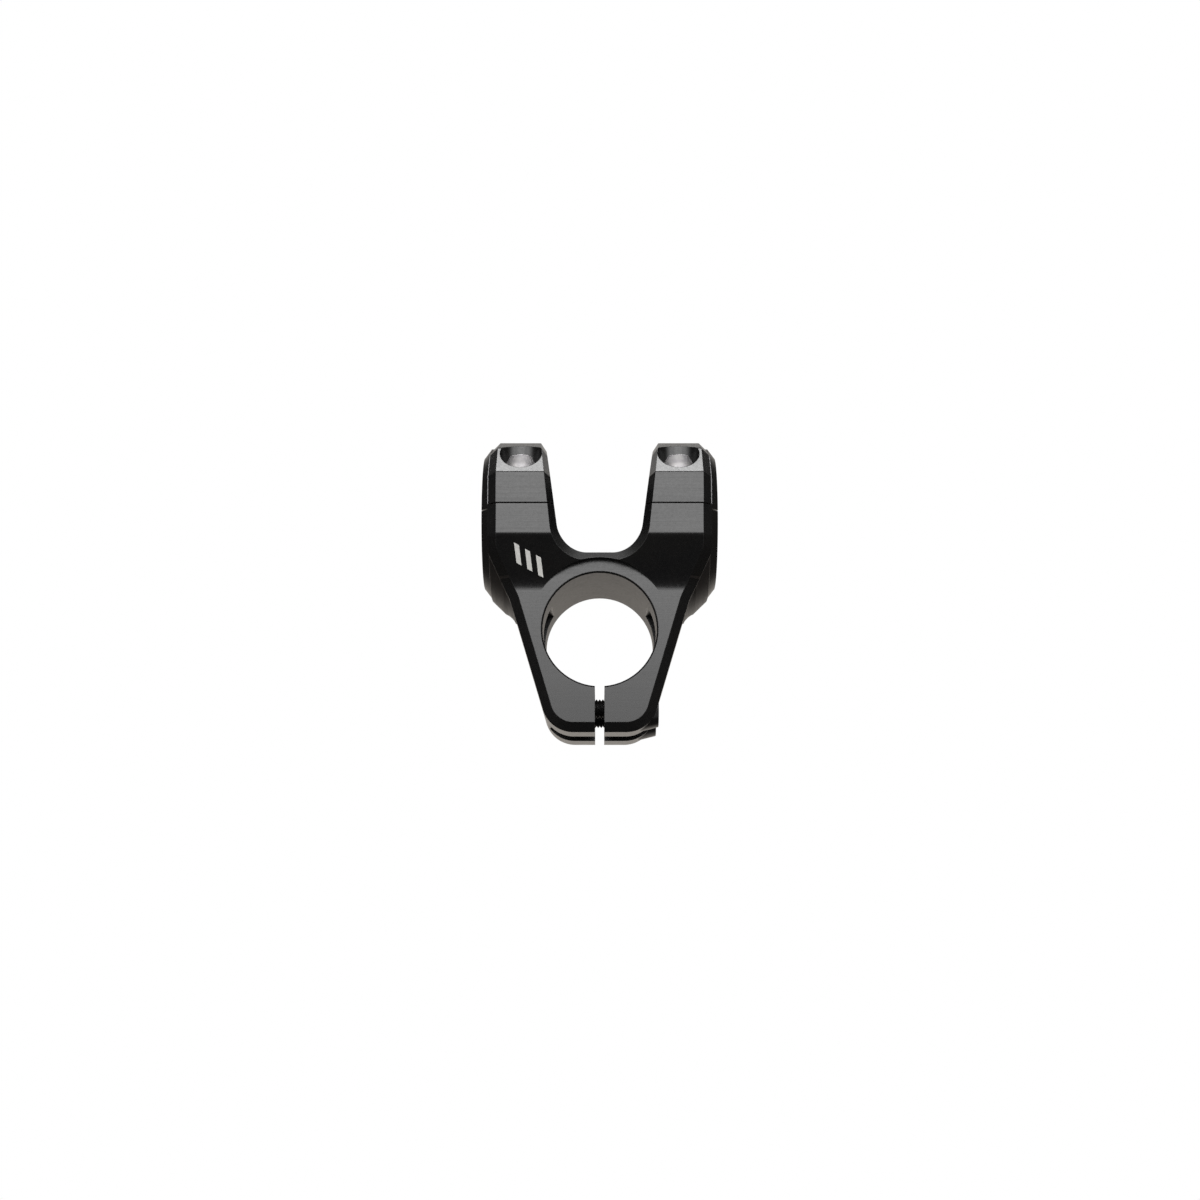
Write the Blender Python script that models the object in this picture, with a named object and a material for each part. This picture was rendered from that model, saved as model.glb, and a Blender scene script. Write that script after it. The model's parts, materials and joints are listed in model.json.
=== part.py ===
"""Handlebar stem with two separate faceplates, one on each arm.

Lengths below are in millimetres and become metres when a mesh is made.
The stem is laid out from the steerer axis: x across (rider's right is +x),
y forward towards the handlebar, z up. The finished part is moved along y so
that its origin is the middle of its own bounding box.
"""

import math

import bmesh
import bpy
import numpy as np
from mathutils import Matrix, Vector

MM = 0.001
SMOOTH_ANGLE = math.radians(30.0)
SIDES = ((-1, "left"), (1, "right"))
LEVELS = ((1, "upper"), (-1, "lower"))

# steerer clamp
STEERER_BORE_R = 14.3
STEERER_BORE_LEAD = 0.4
STEERER_SEGMENTS = 80
STACK_HALF = 20.0
EDGE_DROP = 2.25
OUTER_CHAMFER = 2.3
SPOTFACE_R = 17.7
SPOTFACE_TOOL_H = 12.0
SIDE_AT_AXIS = 20.2
SIDE_TAPER = 0.302
REAR_Y = -25.6
REAR_CORNER_R = 8.0
REAR_OVERRUN = 5.0
SLIT_HALF = 1.2
SLIT_END_Y = -8.0
SLIT_TOOL_HALF_Z = 30.0
GROOVE_HALF = 6.3
GROOVE_FLOOR_Y = -22.3
GROOVE_TOOL_HALF_X = 25.0
RELIEF_START_X = 10.0
RELIEF_X = 16.6
RELIEF_FRONT_Y = 7.6
RELIEF_REAR_Y = -4.5
RELIEF_HALF = 8.0
RELIEF_R = 2.0

# bar clamp
BAR_Y = 30.8
BAR_BORE_R = 15.9
BAR_BORE_LEAD = 0.5
BAR_BORE_OVERRUN = 3.0
BAR_SEGMENTS = 72
CLAMP_OUTER_R = 21.2
SPLIT_HALF = 0.15
SPLIT_TOOL_REACH = 40.0
BODY_OVERRUN = 6.0  # body blank, forward of the bar axis
PLATE_OVERRUN = 5.0  # faceplate blank, behind the bar axis

# arms, seen from the side
ARM_TOP_Z = 26.8
SLOPE_TOP_Y = 22.8
SLOPE_TOP_R = 0.6
SLOPE_TOP_STEPS = 2
SLOPE_FOOT_Y = 11.8
SLOPE_FOOT_R = 7.0
SLOPE_FOOT_STEPS = 4
FLAT_FRONT_Y = 38.7
FACET_END_Y = 46.98
FACET_END_Z = 18.04
FACET_END_R = 3.0
FRONT_ARC_Z = 6.95
FRONT_ARC_STEPS = 10
PLATE_CHAMFER = 2.2

# arms, seen from above
ARM_OUTER_X = 28.1
ARM_FLARE_Y = 19.3
ARM_FLARE_R = 5.0
FLARE_SLOPE = 0.478
FLARE_ROOT_R = 6.0
ARM_INNER_X = 11.4
ARM_INNER_TAPER = 0.135
INNER_EDGE_X = 13.1
INNER_EDGE_TAPER = 0.108
GAP_END_Y = 19.05
GAP_CORNER_R = 7.6
GAP_CHAMFER = 2.1
GAP_EDGE_SCALE = 0.99  # chamfer width along the gap, of the edge's distance
GAP_BLEND_START_Y = GAP_END_Y + GAP_CORNER_R * 0.85
GAP_BLEND_LENGTH = GAP_CORNER_R * 0.5
GAP_MARGIN = 1.0  # tolerance when telling which outline points are in the gap

# (radius about the bar axis, x) of the arm's rounded rear
NOSE_PROFILE = [
    (0.0, 17.5), (26.2, 17.5), (26.2, 21.9), (25.2, 22.5), (24.4, 23.3),
    (23.7, 24.5), (20.2, ARM_OUTER_X), (0.0, ARM_OUTER_X),
]
BOSS_BASE_R = 19.6
BOSS_FACE_R = 17.1
BOSS_FACE_X = 30.0
BOSS_SINK = 1.2
BOSS_SEGMENTS = 68

# bar clamp bolt holes, M5
BOLT_X = 19.95
BOLT_Z = 19.9
POCKET_R = 5.35
POCKET_FLOOR_Y = 38.0
POCKET_TOOL_DEPTH = 25.0
BOLT_HOLE_R = 2.75
BOLT_HOLE_END_Y = 20.3
BOLT_HOLE_OVERRUN = 3.0
HOLE_TIP_H = BOLT_HOLE_R * 0.6  # conical end of a blind hole
HOLE_SEGMENTS = 32

# pinch bolt bosses and holes, M5
PINCH_Y = -19.2
PINCH_Z = 12.0
PINCH_BOSS_R = 5.6
PINCH_BOSS_END_R = 4.55
PINCH_BOSS_ROOT_X = 4.0
PINCH_BOSS_X = 14.8
PINCH_BOSS_TAPER_L = 4.0
PINCH_POCKET_R = 4.1
PINCH_POCKET_OVERRUN = 6.0
PINCH_FLOOR_X = 8.4
PINCH_HOLE_END_X = -10.4

# fasteners
SHANK_R = 2.42
SHANK_CHAMFER = 0.6
BOLT_LENGTH = 18.0
BOLT_SEGMENTS = 28
HEAD_H = 5.0
HEAD_BEVEL_H = 0.35
HEAD_BEVEL_OUT = 0.2  # bevel's foot, outside the tip radius
HEAD_BEVEL_IN = 0.1  # bevel's top, inside the tip radius
HEX_AF = 4.0
HEX_DEPTH = 2.6
HEX_CONE_H = 0.8
HEX_OVERRUN = 2.0
WASHER_T = 1.0
WASHER_BORE_R = 2.7
WASHER_CHAMFER = 0.15
WASHER_SEGMENTS = 24
SEAT_GAP = 0.1

# A head is straight up to rim_h and then tapers to tip_r.
FACEPLATE_FASTENER = dict(
    kind="faceplate", axis="Y", finish="bolt_silver",
    washer_r=5.0, head_r=4.15, rim_h=2.1, tip_r=2.7,
)
PINCH_FASTENER = dict(
    kind="pinch", axis="X", finish="bolt_black",
    washer_r=3.85, head_r=3.75, rim_h=4.5, tip_r=3.4,
)

# degrees per step in rounded corners
BODY_FILLET_STEP = 7.5
PLATE_FILLET_STEP = 4.0
RELIEF_FILLET_STEP = 18.0

CARRIER_DISPLAY_SIZE = 0.01  # metres

FRONT_Y = BAR_Y + CLAMP_OUTER_R
CENTRE_Y = (FRONT_Y + REAR_Y) / 2.0

FINISHES = {
    "anodised_black": dict(colour=(0.018, 0.018, 0.02, 1.0), roughness=0.42, metallic=0.85),
    "bolt_silver": dict(colour=(0.52, 0.50, 0.49, 1.0), roughness=0.35, metallic=1.0),
    "bolt_black": dict(colour=(0.02, 0.02, 0.02, 1.0), roughness=0.4, metallic=0.8),
    "washer_black": dict(colour=(0.03, 0.03, 0.03, 1.0), roughness=0.45, metallic=0.8),
}


# ---- scene, materials and objects ----

def clear_scene():
    for obj in list(bpy.data.objects):
        bpy.data.objects.remove(obj, do_unlink=True)
    for mesh in list(bpy.data.meshes):
        bpy.data.meshes.remove(mesh)


def make_material(name, colour, roughness, metallic):
    mat = bpy.data.materials.new(name)
    mat.use_nodes = True
    inputs = mat.node_tree.nodes["Principled BSDF"].inputs
    inputs["Base Color"].default_value = colour
    inputs["Roughness"].default_value = roughness
    inputs["Metallic"].default_value = metallic
    mat.diffuse_color = colour
    return mat


def make_object(name, bm, finish=None):
    bmesh.ops.recalc_face_normals(bm, faces=bm.faces)
    mesh = bpy.data.meshes.new(name)
    bm.to_mesh(mesh)
    bm.free()
    mesh.shade_smooth()
    mesh.set_sharp_from_angle(angle=SMOOTH_ANGLE)
    obj = bpy.data.objects.new(name, mesh)
    bpy.context.scene.collection.objects.link(obj)
    if finish:
        mesh.materials.append(make_material(name + "_mat", **FINISHES[finish]))
    return obj


def apply_tool(target, operation, name, bm):
    """Makes a hidden tool object and a boolean modifier that uses it."""
    tool = make_object("tool_" + name, bm)
    tool.hide_render = True
    tool.display_type = "WIRE"
    mod = target.modifiers.new(operation.lower() + "_" + tool.name, "BOOLEAN")
    mod.operation = operation
    mod.solver = "EXACT"
    mod.object = tool
    return tool


def add(target, name, bm):
    return apply_tool(target, "UNION", name, bm)


def cut(target, name, bm):
    return apply_tool(target, "DIFFERENCE", name, bm)


# ---- basic solids ----

def place(x, y, z):
    """A point of the layout, in metres in the part's own frame."""
    return Vector((x * MM, (y - CENTRE_Y) * MM, z * MM))


def bridge(bm, ring, following):
    """Faces between two rings, either of which may be a single point."""
    count = max(len(ring), len(following))
    for i in range(count):
        j = (i + 1) % count
        if len(ring) == 1:
            bm.faces.new((ring[0], following[i], following[j]))
        elif len(following) == 1:
            bm.faces.new((ring[i], ring[j], following[0]))
        else:
            bm.faces.new((ring[i], ring[j], following[j], following[i]))


def loft(layers):
    """Solid through rings of points, with flat ends."""
    bm = bmesh.new()
    rings = [[bm.verts.new(point) for point in layer] for layer in layers]
    for ring, following in zip(rings, rings[1:]):
        bridge(bm, ring, following)
    bm.faces.new(rings[0][::-1])
    bm.faces.new(rings[-1])
    return bm


def turned_point(axis, radius, along, angle):
    across, up = radius * math.cos(angle), radius * math.sin(angle)
    if axis == "X":
        return Vector((along, across, up))
    if axis == "Y":
        return Vector((up, along, across))
    return Vector((across, up, along))


def lathe(profile, segments, axis, centre, phase=0.0, closed=False):
    """Solid of revolution. profile is (radius, distance along axis). It starts
    and ends on the axis, or is a closed loop round a bore. phase turns the
    first corner, in steps."""
    bm = bmesh.new()
    rings = []
    for radius, along in profile:
        count = segments if radius > 0 else 1
        angles = [2 * math.pi * (i + phase) / segments for i in range(count)]
        rings.append(
            [bm.verts.new(turned_point(axis, radius, along, a) * MM + centre) for a in angles]
        )
    last = rings[:1] if closed else []
    for ring, following in zip(rings, rings[1:] + last):
        bridge(bm, ring, following)
    return bm


def box(x0, x1, y0, y1, z0, z1):
    bm = bmesh.new()
    low, high = place(x0, y0, z0), place(x1, y1, z1)
    bmesh.ops.create_cube(bm, size=1.0)
    for v in bm.verts:
        v.co = Vector([low[k] + (v.co[k] + 0.5) * (high[k] - low[k]) for k in range(3)])
    return bm


# ---- outlines ----

def fillet(points, radii, step_deg):
    """Rounds the corners of a closed outline."""
    out = []
    for i, (point, radius) in enumerate(zip(points, radii)):
        if radius <= 0:
            out.append(point)
            continue
        corner = Vector(point)
        back = (Vector(points[i - 1]) - corner).normalized()
        ahead = (Vector(points[(i + 1) % len(points)]) - corner).normalized()
        half = back.angle(ahead) / 2.0
        reach = radius / math.tan(half)
        centre = corner + (back + ahead).normalized() * (radius / math.sin(half))
        first = corner + back * reach - centre
        last = corner + ahead * reach - centre
        start = math.atan2(first.y, first.x)
        sweep = math.atan2(first.x * last.y - first.y * last.x, first.dot(last))
        steps = max(2, round(abs(math.degrees(sweep)) / step_deg))
        for k in range(steps + 1):
            angle = start + sweep * k / steps
            out.append(
                (centre.x + radius * math.cos(angle), centre.y + radius * math.sin(angle))
            )
    return out


def inset(outline, widths):
    """Moves each point of a counter-clockwise outline inwards by its width,
    square to the edges that meet there."""
    count = len(outline)
    out = []
    for i in range(count):
        before, point, after = (Vector(outline[(i + k) % count]) for k in (-1, 0, 1))
        edge_in = (point - before).normalized()
        edge_out = (after - point).normalized()
        normal_in = Vector((-edge_in.y, edge_in.x))
        normal_out = Vector((-edge_out.y, edge_out.x))
        mitre = (normal_in + normal_out) / (1.0 + normal_in.dot(normal_out))
        moved = point + mitre * widths[i]
        out.append((moved.x, moved.y))
    return out


def inner_x(y):
    """Half width of the gap between the arms."""
    return ARM_INNER_X + ARM_INNER_TAPER * (y - BAR_Y)


def inner_edge_x(y):
    """Where an arm's flat faces end, next to the gap."""
    return INNER_EDGE_X + INNER_EDGE_TAPER * (y - BAR_Y)


def body_outline():
    """Counter-clockwise plan of the body, past the split plane at the front."""
    front = BAR_Y + BODY_OVERRUN
    # the flare: a line from the arm's side in to the clamp's side
    flare_y = (ARM_OUTER_X - FLARE_SLOPE * ARM_FLARE_Y - SIDE_AT_AXIS) / (
        SIDE_TAPER - FLARE_SLOPE
    )
    # x, y and corner radius
    right = [
        (SIDE_AT_AXIS + SIDE_TAPER * REAR_Y, REAR_Y, REAR_CORNER_R),
        (SIDE_AT_AXIS + SIDE_TAPER * flare_y, flare_y, FLARE_ROOT_R),
        (ARM_OUTER_X, ARM_FLARE_Y, ARM_FLARE_R),
        (ARM_OUTER_X, front, 0.0),
        (inner_x(front), front, 0.0),
        (inner_x(GAP_END_Y), GAP_END_Y, GAP_CORNER_R),
    ]
    left = [(-x, y, radius) for x, y, radius in right[::-1]]
    corners = [(0.0, REAR_Y, 0.0)] + right + [(0.0, GAP_END_Y, 0.0)] + left
    points = [(x, y) for x, y, _ in corners]
    return fillet(points, [radius for _, _, radius in corners], BODY_FILLET_STEP)


def body_chamfer_width(x, y):
    """Chamfer width at a point of the body outline. In the gap it follows the
    arm's edge and blends to GAP_CHAMFER at the gap's end."""
    if abs(x) > inner_x(y) + GAP_MARGIN or y < GAP_END_Y - GAP_MARGIN:
        return OUTER_CHAMFER
    straight = (inner_edge_x(y) - inner_x(y)) * GAP_EDGE_SCALE
    blend = min(max((GAP_BLEND_START_Y - y) / GAP_BLEND_LENGTH, 0.0), 1.0)
    return straight + (GAP_CHAMFER - straight) * blend


def slope_points():
    """Side profile of the top: (y, height above the clamp's top plane)."""
    rise = ARM_TOP_Z - STACK_HALF
    slope = math.atan2(rise, SLOPE_TOP_Y - SLOPE_FOOT_Y)
    foot_y = SLOPE_FOOT_Y - SLOPE_FOOT_R * math.tan(slope / 2)
    top_y = SLOPE_TOP_Y + SLOPE_TOP_R * math.tan(slope / 2)
    points = []
    for k in range(SLOPE_FOOT_STEPS + 1):
        angle = slope * k / SLOPE_FOOT_STEPS
        points.append(
            (foot_y + SLOPE_FOOT_R * math.sin(angle), SLOPE_FOOT_R * (1 - math.cos(angle)))
        )
    for k in range(SLOPE_TOP_STEPS + 1):
        angle = slope - slope * k / SLOPE_TOP_STEPS
        points.append(
            (top_y - SLOPE_TOP_R * math.sin(angle), rise - SLOPE_TOP_R * (1 - math.cos(angle)))
        )
    return points


def plate_profile():
    """Counter-clockwise side profile (y, z) of a faceplate, started behind
    the split plane so that it can be trimmed there."""
    half_arc = math.asin(FRONT_ARC_Z / CLAMP_OUTER_R)
    arc = []
    for k in range(FRONT_ARC_STEPS + 1):
        angle = -half_arc + 2 * half_arc * k / FRONT_ARC_STEPS
        arc.append(
            (BAR_Y + CLAMP_OUTER_R * math.cos(angle), CLAMP_OUTER_R * math.sin(angle))
        )
    lower = [
        (BAR_Y - PLATE_OVERRUN, -ARM_TOP_Z),
        (FLAT_FRONT_Y, -ARM_TOP_Z),
        (FACET_END_Y, -FACET_END_Z),
    ]
    upper = [(y, -z) for y, z in lower[::-1]]
    radii = [0.0, 0.0, FACET_END_R]
    return fillet(
        lower + arc + upper, radii + [0.0] * len(arc) + radii[::-1], PLATE_FILLET_STEP
    )


# ---- blanks and tools ----

def body_blank():
    """The body's outer shape, before any hole."""
    outline = body_outline()
    narrow = inset(outline, [body_chamfer_width(x, y) for x, y in outline])
    levels = [
        (narrow, -STACK_HALF),
        (outline, -STACK_HALF + EDGE_DROP),
        (outline, STACK_HALF - EDGE_DROP),
        (narrow, STACK_HALF),
    ]
    bm = loft([[(x, y, z) for x, y in points] for points, z in levels])
    # cut across at each fold, then spread top and bottom out to the arms' height
    fold_ys, fold_heights = zip(*slope_points())
    for y in fold_ys:
        bmesh.ops.bisect_plane(
            bm,
            geom=bm.verts[:] + bm.edges[:] + bm.faces[:],
            dist=1e-5,
            plane_co=(0, y, 0),
            plane_no=(0, 1, 0),
        )
    for v in bm.verts:
        lift = float(np.interp(v.co.y, fold_ys, fold_heights))
        v.co.z += lift if v.co.z > 0 else -lift
    many_sided = [f for f in bm.faces if len(f.verts) > 4]
    bmesh.ops.triangulate(bm, faces=many_sided, ngon_method="EAR_CLIP")
    for v in bm.verts:
        v.co = place(*v.co)
    return bm


def plate_blank(side):
    """A faceplate's outer shape, in layers from the gap outwards."""
    profile = plate_profile()
    narrow = inset(profile, [PLATE_CHAMFER] * len(profile))
    layers = [
        (narrow, inner_x),
        (profile, inner_edge_x),
        (profile, lambda y: ARM_OUTER_X - PLATE_CHAMFER),
        (narrow, lambda y: ARM_OUTER_X),
    ]
    return loft(
        [[place(side * x_at(y), y, z) for y, z in points] for points, x_at in layers]
    )


def bar_boss(side):
    """The conical ring round the bar's hole on an arm's outer side."""
    root_x = ARM_OUTER_X - BOSS_SINK
    profile = [
        (0.0, side * root_x),
        (BOSS_BASE_R, side * root_x),
        (BOSS_BASE_R, side * ARM_OUTER_X),
        (BOSS_FACE_R, side * BOSS_FACE_X),
        (0.0, side * BOSS_FACE_X),
    ]
    return lathe(profile, BOSS_SEGMENTS, "X", place(0, BAR_Y, 0), phase=0.5)


def arm_nose(side):
    """The rounded rear of an arm, turned about the bar axis, with a bevel to
    the arm's side and a hollow blend into the clamp's side."""
    profile = [(radius, side * x) for radius, x in NOSE_PROFILE]
    return lathe(profile, BAR_SEGMENTS, "X", place(0, BAR_Y, 0))


def bar_bore():
    """The bar's hole, with a 45 degree lead-in at each end."""
    tool_x = BOSS_FACE_X + BAR_BORE_OVERRUN
    tool_r = BAR_BORE_R + BAR_BORE_LEAD + BAR_BORE_OVERRUN
    lead_x = BOSS_FACE_X - BAR_BORE_LEAD
    profile = [
        (0.0, -tool_x),
        (tool_r, -tool_x),
        (BAR_BORE_R, -lead_x),
        (BAR_BORE_R, lead_x),
        (tool_r, tool_x),
        (0.0, tool_x),
    ]
    return lathe(profile, BAR_SEGMENTS, "X", place(0, BAR_Y, 0))


def steerer_bore():
    """The steerer's hole, with a lead-in and a spotface at each end."""
    upper = [
        (STEERER_BORE_R, STACK_HALF - STEERER_BORE_LEAD),
        (STEERER_BORE_R + STEERER_BORE_LEAD, STACK_HALF),
        (SPOTFACE_R, STACK_HALF),
        (SPOTFACE_R, STACK_HALF + SPOTFACE_TOOL_H),
        (0.0, STACK_HALF + SPOTFACE_TOOL_H),
    ]
    lower = [(radius, -z) for radius, z in upper[::-1]]
    return lathe(lower + upper, STEERER_SEGMENTS, "Z", place(0, 0, 0))


def relief(side):
    """A pocket in the steerer bore's side wall."""
    corners = [
        (RELIEF_START_X, RELIEF_REAR_Y),
        (RELIEF_X, RELIEF_REAR_Y),
        (RELIEF_X, RELIEF_FRONT_Y),
        (RELIEF_START_X, RELIEF_FRONT_Y),
    ]
    outline = fillet(corners, [0.0, RELIEF_R, RELIEF_R, 0.0], RELIEF_FILLET_STEP)
    return loft(
        [[place(side * x, y, z) for x, y in outline] for z in (-RELIEF_HALF, RELIEF_HALF)]
    )


def pinch_boss(level):
    """A round boss with a tapered end, round a pinch bolt's head."""
    profile = [
        (0.0, PINCH_BOSS_ROOT_X),
        (PINCH_BOSS_R, PINCH_BOSS_ROOT_X),
        (PINCH_BOSS_R, PINCH_BOSS_X - PINCH_BOSS_TAPER_L),
        (PINCH_BOSS_END_R, PINCH_BOSS_X),
        (0.0, PINCH_BOSS_X),
    ]
    return lathe(profile, HOLE_SEGMENTS, "X", place(0, PINCH_Y, level * PINCH_Z))


def pinch_hole(level):
    """A blind hole across the slit, with a pocket for the head at +x."""
    pocket_end = PINCH_BOSS_X + PINCH_POCKET_OVERRUN
    profile = [
        (0.0, PINCH_HOLE_END_X - HOLE_TIP_H),
        (BOLT_HOLE_R, PINCH_HOLE_END_X),
        (BOLT_HOLE_R, PINCH_FLOOR_X),
        (PINCH_POCKET_R, PINCH_FLOOR_X),
        (PINCH_POCKET_R, pocket_end),
        (0.0, pocket_end),
    ]
    return lathe(profile, HOLE_SEGMENTS, "X", place(0, PINCH_Y, level * PINCH_Z))


def arm_hole(side, level):
    """A blind bolt hole into an arm, from the split plane back."""
    end = BOLT_HOLE_END_Y - BAR_Y
    profile = [
        (0.0, end - HOLE_TIP_H),
        (BOLT_HOLE_R, end),
        (BOLT_HOLE_R, BOLT_HOLE_OVERRUN),
        (0.0, BOLT_HOLE_OVERRUN),
    ]
    centre = place(side * BOLT_X, BAR_Y, level * BOLT_Z)
    return lathe(profile, HOLE_SEGMENTS, "Y", centre)


def plate_hole(side, level):
    """A through hole in a faceplate, with a pocket for the head in front."""
    start = BAR_Y - BOLT_HOLE_OVERRUN - POCKET_FLOOR_Y
    profile = [
        (0.0, start),
        (BOLT_HOLE_R, start),
        (BOLT_HOLE_R, 0.0),
        (POCKET_R, 0.0),
        (POCKET_R, POCKET_TOOL_DEPTH),
        (0.0, POCKET_TOOL_DEPTH),
    ]
    centre = place(side * BOLT_X, POCKET_FLOOR_Y, level * BOLT_Z)
    return lathe(profile, HOLE_SEGMENTS, "Y", centre)


def split_box(y0, y1):
    """A block that trims a clamp half at the split."""
    reach = SPLIT_TOOL_REACH
    return box(-reach, reach, y0, y1, -reach, reach)


def slit_box():
    rear = REAR_Y - REAR_OVERRUN
    return box(-SLIT_HALF, SLIT_HALF, rear, SLIT_END_Y, -SLIT_TOOL_HALF_Z, SLIT_TOOL_HALF_Z)


def groove_box():
    """The level groove across the rear face."""
    half_x, rear = GROOVE_TOOL_HALF_X, REAR_Y - REAR_OVERRUN
    return box(-half_x, half_x, rear, GROOVE_FLOOR_Y, -GROOVE_HALF, GROOVE_HALF)


# ---- pieces ----

def make_body():
    body = make_object("stem_body", body_blank(), "anodised_black")
    for side, across in SIDES:
        add(body, "arm_nose_" + across, arm_nose(side))
        add(body, "bar_boss_" + across, bar_boss(side))
    for level, height in LEVELS:
        add(body, "pinch_boss_" + height, pinch_boss(level))
    cut(body, "split", split_box(BAR_Y - SPLIT_HALF, BAR_Y + SPLIT_TOOL_REACH))
    cut(body, "bar_bore", bar_bore())
    cut(body, "steerer_bore", steerer_bore())
    for side, across in SIDES:
        cut(body, "relief_" + across, relief(side))
    cut(body, "slit", slit_box())
    cut(body, "groove", groove_box())
    for side, across in SIDES:
        for level, height in LEVELS:
            cut(body, f"hole_{height}_{across}", arm_hole(side, level))
    for level, height in LEVELS:
        cut(body, "pinch_hole_" + height, pinch_hole(level))


def make_plate(side, across):
    plate = make_object("faceplate_" + across, plate_blank(side), "anodised_black")
    add(plate, "plate_boss_" + across, bar_boss(side))
    trim = split_box(BAR_Y - SPLIT_TOOL_REACH, BAR_Y + SPLIT_HALF)
    cut(plate, "plate_split_" + across, trim)
    cut(plate, "plate_bore_" + across, bar_bore())
    for level, height in LEVELS:
        cut(plate, f"plate_hole_{height}_{across}", plate_hole(side, level))

    # the faceplate slides off along y, on its own empty
    carrier = bpy.data.objects.new("faceplate_slide_" + across, None)
    bpy.context.scene.collection.objects.link(carrier)
    carrier.location = place(side * BOLT_X, BAR_Y, 0)
    carrier.empty_display_size = CARRIER_DISPLAY_SIZE
    plate.parent = carrier
    plate.matrix_parent_inverse = Matrix.Translation(-carrier.location)


def washer_mesh(outer_r, axis):
    """A ring with a plain bore and chamfered outer edges."""
    profile = [
        (WASHER_BORE_R, 0.0),
        (outer_r - WASHER_CHAMFER, 0.0),
        (outer_r, WASHER_CHAMFER),
        (outer_r, WASHER_T - WASHER_CHAMFER),
        (outer_r - WASHER_CHAMFER, WASHER_T),
        (WASHER_BORE_R, WASHER_T),
    ]
    return lathe(profile, WASHER_SEGMENTS, axis, Vector(), closed=True)


def bolt_mesh(head_r, rim_h, tip_r, axis):
    """A bolt with its origin under the head and its head towards +."""
    profile = [
        (0.0, -BOLT_LENGTH),
        (SHANK_R - SHANK_CHAMFER, -BOLT_LENGTH),
        (SHANK_R, -BOLT_LENGTH + SHANK_CHAMFER),
        (SHANK_R, 0.0),
        (head_r, 0.0),
        (head_r, rim_h),
        (tip_r + HEAD_BEVEL_OUT, HEAD_H - HEAD_BEVEL_H),
        (tip_r - HEAD_BEVEL_IN, HEAD_H),
        (0.0, HEAD_H),
    ]
    return lathe(profile, BOLT_SEGMENTS, axis, Vector())


def hex_socket(axis):
    """A hexagonal socket with a shallow conical floor."""
    radius = HEX_AF / math.sqrt(3.0)
    floor, top = HEAD_H - HEX_DEPTH, HEAD_H + HEX_OVERRUN
    profile = [(0.0, floor - HEX_CONE_H), (radius, floor), (radius, top), (0.0, top)]
    return lathe(profile, 6, axis, Vector())


def make_fastener(ending, floor, *, kind, axis, finish, washer_r, head_r, rim_h, tip_r):
    """A washer and its bolt. floor is the middle of the pocket's floor."""
    outwards = Vector((axis == "X", axis == "Y", 0))
    seat = Vector(floor) + outwards * SEAT_GAP

    washer_name = f"{kind}_washer_{ending}"
    washer = make_object(washer_name, washer_mesh(washer_r, axis), "washer_black")
    washer.location = place(*seat)

    bolt_name = f"{kind}_bolt_{ending}"
    bolt = make_object(bolt_name, bolt_mesh(head_r, rim_h, tip_r, axis), finish)
    bolt.location = place(*(seat + outwards * (WASHER_T + SEAT_GAP)))
    socket = cut(bolt, "socket_" + bolt_name, hex_socket(axis))
    socket.parent = bolt


def main():
    clear_scene()
    make_body()
    for side, across in SIDES:
        make_plate(side, across)
        for level, height in LEVELS:
            floor = (side * BOLT_X, POCKET_FLOOR_Y, level * BOLT_Z)
            make_fastener(f"{height}_{across}", floor, **FACEPLATE_FASTENER)
    for level, height in LEVELS:
        make_fastener(height, (PINCH_FLOOR_X, PINCH_Y, level * PINCH_Z), **PINCH_FASTENER)


main()
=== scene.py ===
"""Handlebar stem: the finished look of every piece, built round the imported
frame. Shapes are laid out in millimetres from the steerer axis: x across
(left is -x), y forward to the handlebar, z up."""

import json
import math

import bmesh
import bpy
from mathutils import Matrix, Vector


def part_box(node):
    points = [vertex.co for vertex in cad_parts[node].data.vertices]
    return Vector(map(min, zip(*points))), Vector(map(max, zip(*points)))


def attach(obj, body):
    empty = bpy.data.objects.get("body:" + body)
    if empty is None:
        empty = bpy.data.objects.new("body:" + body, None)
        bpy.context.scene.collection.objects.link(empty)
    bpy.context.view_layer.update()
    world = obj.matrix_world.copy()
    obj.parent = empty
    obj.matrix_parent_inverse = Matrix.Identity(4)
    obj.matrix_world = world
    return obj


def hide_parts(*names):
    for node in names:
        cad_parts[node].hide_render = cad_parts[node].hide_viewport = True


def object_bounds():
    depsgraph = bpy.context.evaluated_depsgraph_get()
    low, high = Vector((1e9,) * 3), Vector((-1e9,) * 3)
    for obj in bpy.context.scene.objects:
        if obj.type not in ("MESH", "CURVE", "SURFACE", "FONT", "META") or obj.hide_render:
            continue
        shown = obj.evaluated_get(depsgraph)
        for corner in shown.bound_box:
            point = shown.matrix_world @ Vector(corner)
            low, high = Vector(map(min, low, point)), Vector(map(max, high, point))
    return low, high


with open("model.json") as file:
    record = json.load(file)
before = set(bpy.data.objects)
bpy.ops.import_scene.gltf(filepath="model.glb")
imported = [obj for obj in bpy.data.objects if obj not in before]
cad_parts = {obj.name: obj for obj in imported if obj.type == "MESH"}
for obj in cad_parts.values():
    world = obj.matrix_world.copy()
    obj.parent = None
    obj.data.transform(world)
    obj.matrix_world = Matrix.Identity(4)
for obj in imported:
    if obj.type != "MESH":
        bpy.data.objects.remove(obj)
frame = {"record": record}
CAD_LOW, CAD_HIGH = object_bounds()

MM = 0.001
FULL_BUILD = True  # every piece is built alike either way

# ------------------------------------------------------------------ layout
# Names end in R for a radius, HALF for a half width about the centre plane,
# and X, Y or Z for a place.

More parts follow.
